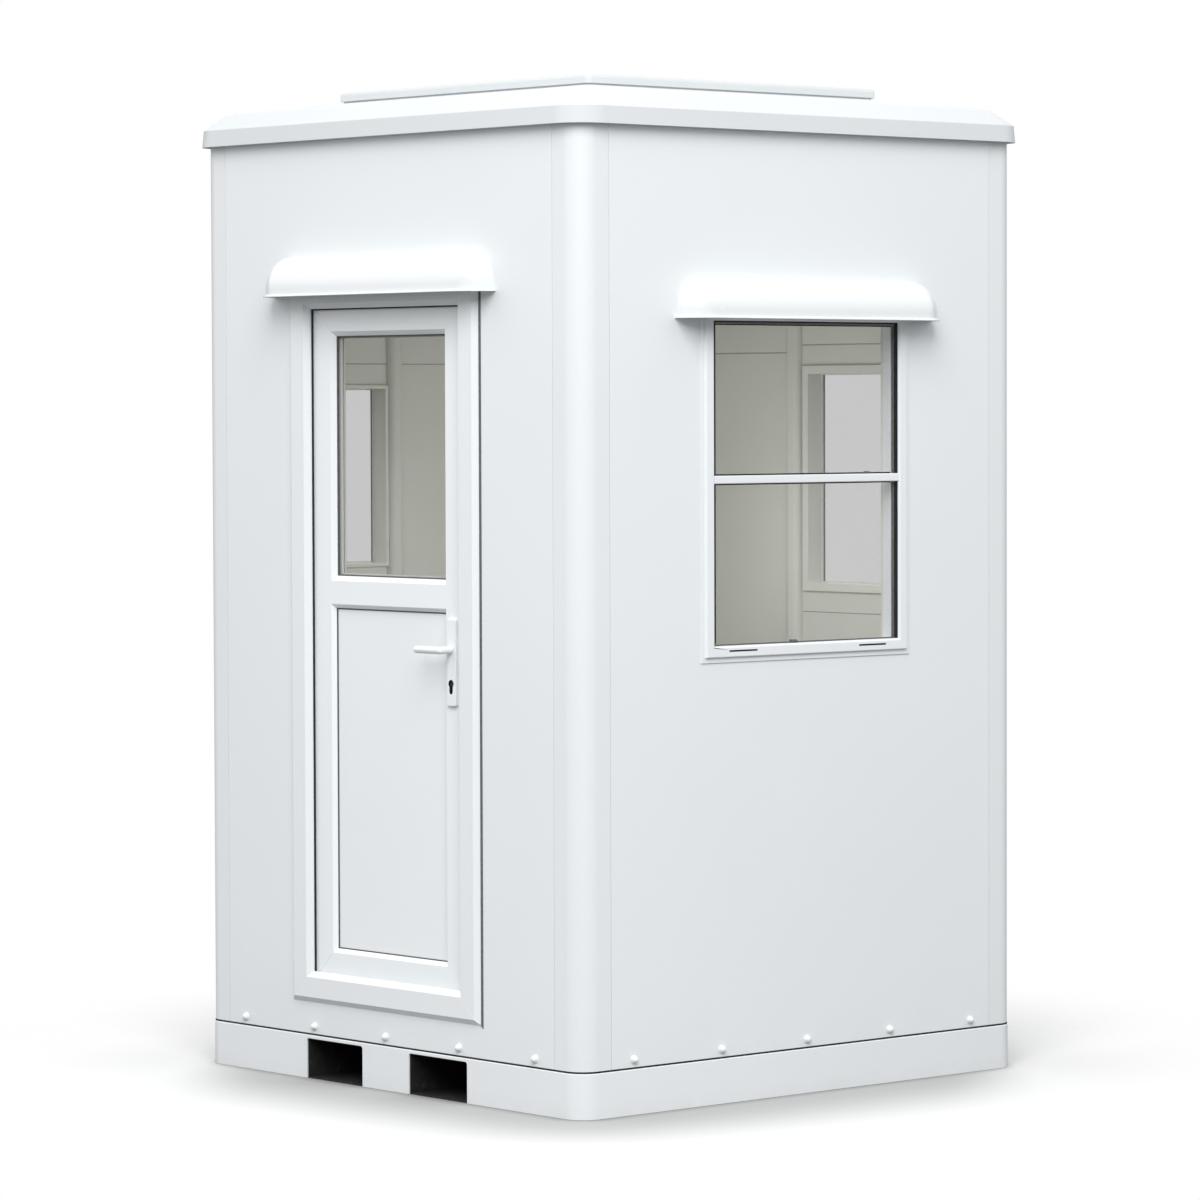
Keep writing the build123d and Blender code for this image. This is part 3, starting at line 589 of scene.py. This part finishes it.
# painted contact shadow: the floor's colour turns grey within about half a metre of the booth's footprint
near = g.math("MULTIPLY", g.span(away, 0.02, 0.56, 1.0, 0.0, True), painted_shadow_weight)
# a darker painted shadow line right at the booth's foot
painted_foot_shadow = g.math("MULTIPLY", g.span(away, 0.0, 0.05, 0.8, 0.0, True), painted_shadow_weight)
far = g.math("SQRT", g.math("ADD", g.math("MULTIPLY", ax["X"], ax["X"]), g.math("MULTIPLY", ax["Y"], ax["Y"])))
open_floor = g.mix(g.span(g.noise(0.8, 2.0), 0.3, 0.7), (0.785, 0.785, 0.785), (0.795, 0.795, 0.795))
g.link(g.mix(painted_foot_shadow, g.mix(near, open_floor, (0.455, 0.455, 0.455)), (0.30, 0.30, 0.30)), g.b.inputs["Base Color"])
g.link(g.span(far, 1.2, 2.15, 1.0, 0.0, True), g.b.inputs["Alpha"])
g.put("Roughness", 0.9)
g.put("Specular IOR Level", 0.0)
floor.data.materials.append(g.mat)
floor.visible_diffuse = False
floor.visible_glossy = False
floor.visible_shadow = False

# what the floor throws back on the booth: a darker ground that doesn't show
ground = plane("studio_ground", 40.0, -0.004)
g = Graph("studio_ground")
g.link(g.mix(g.span(g.noise(0.8, 2.0), 0.3, 0.7), (0.205, 0.205, 0.205), (0.22, 0.22, 0.22)), g.b.inputs["Base Color"])
g.put("Roughness", 0.9)
g.put("Specular IOR Level", 0.0)
ground.data.materials.append(g.mat)
ground.visible_camera = False
ground.visible_transmission = False

world = bpy.data.worlds.new("studio")
scene.world = world
world.use_nodes = True
wt = world.node_tree
wt.nodes.clear()
out = wt.nodes.new("ShaderNodeOutputWorld")
fill = wt.nodes.new("ShaderNodeBackground")
fill.inputs["Color"].default_value = (1.0, 1.0, 1.0, 1.0)
fill.inputs["Strength"].default_value = 0.42
seen = wt.nodes.new("ShaderNodeBackground")
seen.inputs["Color"].default_value = (1.0, 1.0, 1.0, 1.0)
seen.inputs["Strength"].default_value = 1.0
path = wt.nodes.new("ShaderNodeLightPath")
pick = wt.nodes.new("ShaderNodeMixShader")
wt.links.new(path.outputs["Is Camera Ray"], pick.inputs[0])
wt.links.new(fill.outputs[0], pick.inputs[1])
wt.links.new(seen.outputs[0], pick.inputs[2])
wt.links.new(pick.outputs[0], out.inputs["Surface"])


def sun(name, strength, angle, azimuth_from, elevation, colour=(1, 1, 1)):
    """Soft light from a compass direction (x, y) at an elevation in degrees."""
    ld = bpy.data.lights.new(name, "SUN")
    ld.energy = strength
    ld.angle = math.radians(angle)
    ld.color = colour
    ob = bpy.data.objects.new(name, ld)
    scene.collection.objects.link(ob)
    h = Vector((azimuth_from[0], azimuth_from[1], 0.0)).normalized()
    e = math.radians(elevation)
    src = Vector((h.x * math.cos(e), h.y * math.cos(e), math.sin(e)))
    ob.rotation_euler = src.to_track_quat("Z", "Y").to_euler()
    ob.location = src * 8.0
    return ob


sun("left_fill", 1.0, 60.0, (-0.80, -0.60), 32.0)
sun("right_fill", 0.8, 60.0, (0.60, 0.80), 32.0)
sun("back_fill", 0.85, 50.0, (-0.70, 0.72), 28.0)


def box_light(name, place, aim, size, power):
    """Large square soft box."""
    ld = bpy.data.lights.new(name, "AREA")
    ld.shape = "SQUARE"
    ld.size = size
    ld.energy = power
    ob = bpy.data.objects.new(name, ld)
    scene.collection.objects.link(ob)
    ob.location = place
    ob.rotation_euler = (Vector(place) - Vector(aim)).to_track_quat("Z", "Y").to_euler()
    ob.visible_camera = False
    return ob


box_light("key_light", (8.7, -8.1, 10.4), (0.0, 0.0, 1.3), 10.5, 2240.0)

# soft light in the room
for nm, place, power, size in (("room_light", (0.0, 0.1, 1.42), 5.1, 0.35),
                               ("room_light_back", (0.38, 0.26, 1.45), 3.0, 0.26),
                               ("room_light_left", (-0.34, -0.50, 1.4), 0.8, 0.16)):
    ld = bpy.data.lights.new(nm, "POINT")
    ld.energy = power
    ld.shadow_soft_size = size
    ld.color = (1.0, 1.0, 0.985)
    lamp = bpy.data.objects.new(nm, ld)
    lamp.location = place
    scene.collection.objects.link(lamp)
    lamp.visible_camera = False
    lamp.visible_glossy = False

cam_data = bpy.data.cameras.new("camera")
cam = bpy.data.objects.new("camera", cam_data)
scene.collection.objects.link(cam)
cam_data.sensor_fit = "HORIZONTAL"
cam_data.sensor_width = 36.0
cam_data.lens = 4969.46 * 36.0 / 1200.0
cam_data.clip_end = 400.0
yaw, pitch, roll = math.radians(48.792), math.radians(2.195), math.radians(-0.18)
fwd = Vector((-math.sin(yaw), math.cos(yaw), 0.0))
right = Vector((math.cos(yaw), math.sin(yaw), 0.0))
up = Vector((0.0, 0.0, 1.0))
fw = fwd * math.cos(pitch) - up * math.sin(pitch)
u = up * math.cos(pitch) + fwd * math.sin(pitch)
r = right * math.cos(roll) + u * math.sin(roll)
u2 = u * math.cos(roll) - right * math.sin(roll)
m = Matrix((r, u2, -fw)).transposed().to_4x4()
m.translation = Vector((9.74304, -8.55997, 1.71366))
cam.matrix_world = m
scene.camera = cam

scene.view_settings.view_transform = "Standard"
scene.view_settings.look = "None"
